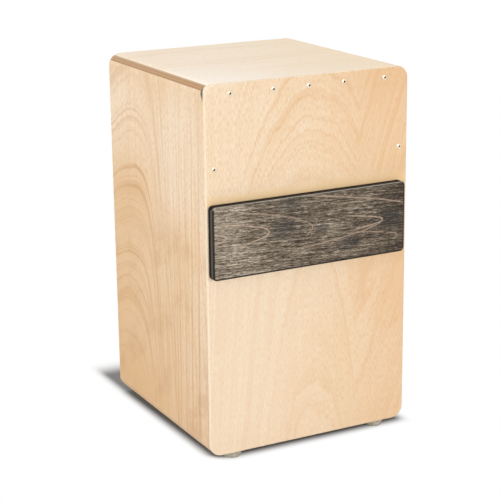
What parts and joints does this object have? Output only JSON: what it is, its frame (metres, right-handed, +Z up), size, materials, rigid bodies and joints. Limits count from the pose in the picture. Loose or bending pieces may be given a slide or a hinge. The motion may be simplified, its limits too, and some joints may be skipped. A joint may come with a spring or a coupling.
{
  "type": "cajon",
  "caption": "Plywood box drum to sit on: struck front plate with a pull-off dark rattle board, round sound hole at the back, removable snare inside, low round feet.",
  "frame": {"origin": "on the floor, under the middle of the whole outline", "axes": "+Z up; the striking plate faces -Y, and +X is to the right of someone who faces the plate"},
  "size_m": [0.3, 0.312, 0.505],
  "materials": {
    "seat_veneer": "pale beech plywood, satin lacquer, grain from side to side",
    "side_veneer": "beech plywood, satin lacquer, upright grain",
    "plate_veneer": "beech plywood, satin lacquer, upright grain with fine flecks",
    "beech_veneer": "beech plywood, satin lacquer",
    "batten_wood": "raw sawn softwood",
    "stained_wood": "grey-black stained plywood, matt",
    "black_backing": "matt black",
    "hook_and_loop": "black hook-and-loop tape",
    "screw_steel": "bright zinc plating",
    "wire_steel": "bright drawn wire",
    "brass_strip": "rolled sheet",
    "foot_rubber": "matt beige-grey"
  },
  "bodies": {
    "box": {"seat_panel": "seat_veneer", "base_panel": "beech_veneer", "left_side_panel": "side_veneer", "right_side_panel": "side_veneer", "back_panel": "beech_veneer", "striking_plate": "plate_veneer", "plate_screws": "screw_steel", "upper_batten": "batten_wood", "lower_batten": "batten_wood", "left_batten": "batten_wood", "right_batten": "batten_wood", "front_left_foot": "foot_rubber", "front_right_foot": "foot_rubber", "rear_left_foot": "foot_rubber", "rear_right_foot": "foot_rubber", "foot_washers": "screw_steel", "foot_screws": "screw_steel", "snare_loop_tape": "hook_and_loop", "rattle_loop_tape": "hook_and_loop"},
    "snare": {"snare_bar": "batten_wood", "left_snare_wedge": "batten_wood", "right_snare_wedge": "batten_wood", "left_snare_strip": "brass_strip", "right_snare_strip": "brass_strip", "left_snare_wires": "wire_steel", "right_snare_wires": "wire_steel", "snare_screws": "screw_steel", "snare_hook_tape": "hook_and_loop"},
    "rattle": {"rattle_board": "stained_wood", "rattle_backing": "black_backing", "rattle_clips": "brass_strip", "rattle_wires": "wire_steel", "rattle_hook_tape": "hook_and_loop"}
  },
  "joints": [
    {"name": "snare_pull", "type": "slide", "parent": "box", "child": "snare", "axis": [0, 1, 0], "range_m": [0, 0.1]},
    {"name": "rattle_pull", "type": "slide", "parent": "box", "child": "rattle", "axis": [0, -1, 0], "range_m": [0, 0.1]}
  ]
}
